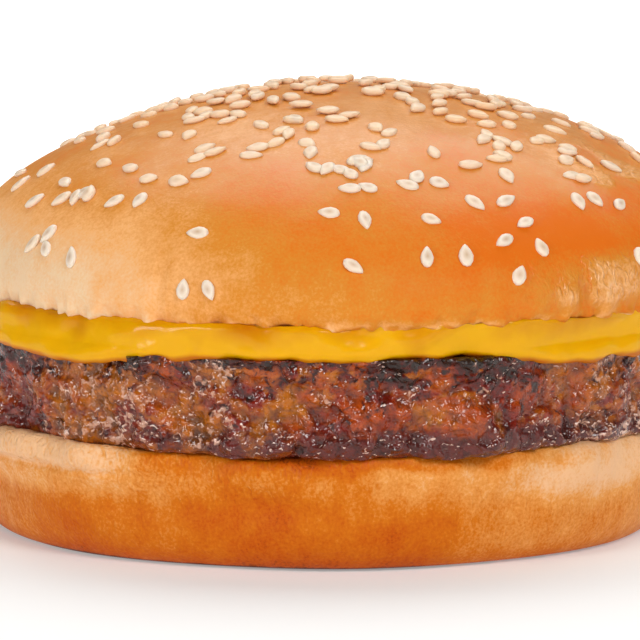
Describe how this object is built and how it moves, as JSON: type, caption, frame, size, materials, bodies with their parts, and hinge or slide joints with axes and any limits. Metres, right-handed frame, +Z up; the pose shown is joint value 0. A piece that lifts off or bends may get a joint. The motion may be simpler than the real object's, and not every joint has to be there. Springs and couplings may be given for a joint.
{
  "type": "cheeseburger",
  "caption": "Cheeseburger: a round sesame bun in a heel and a crown, with a grilled beef patty and a melted cheese slice between them.",
  "frame": {"origin": "middle of the burger's footprint, on the surface that it stands on", "axes": "+Z up through the layers, from the heel to the crown; the front faces -Y and +X is to its right"},
  "size_m": [0.1048, 0.103, 0.0585],
  "materials": {
    "bun_crust": "baked, egg-washed bun crust, golden with paler edges and a soft sheen",
    "grilled_beef": "grilled minced beef, rough, browned and glazed with its juices",
    "melted_cheese": "melted processed cheese, smooth and glossy"
  },
  "bodies": {
    "root": {"bun_heel": "bun_crust", "patty": "grilled_beef", "cheese_slice": "melted_cheese", "bun_crown": "bun_crust"}
  },
  "joints": []
}
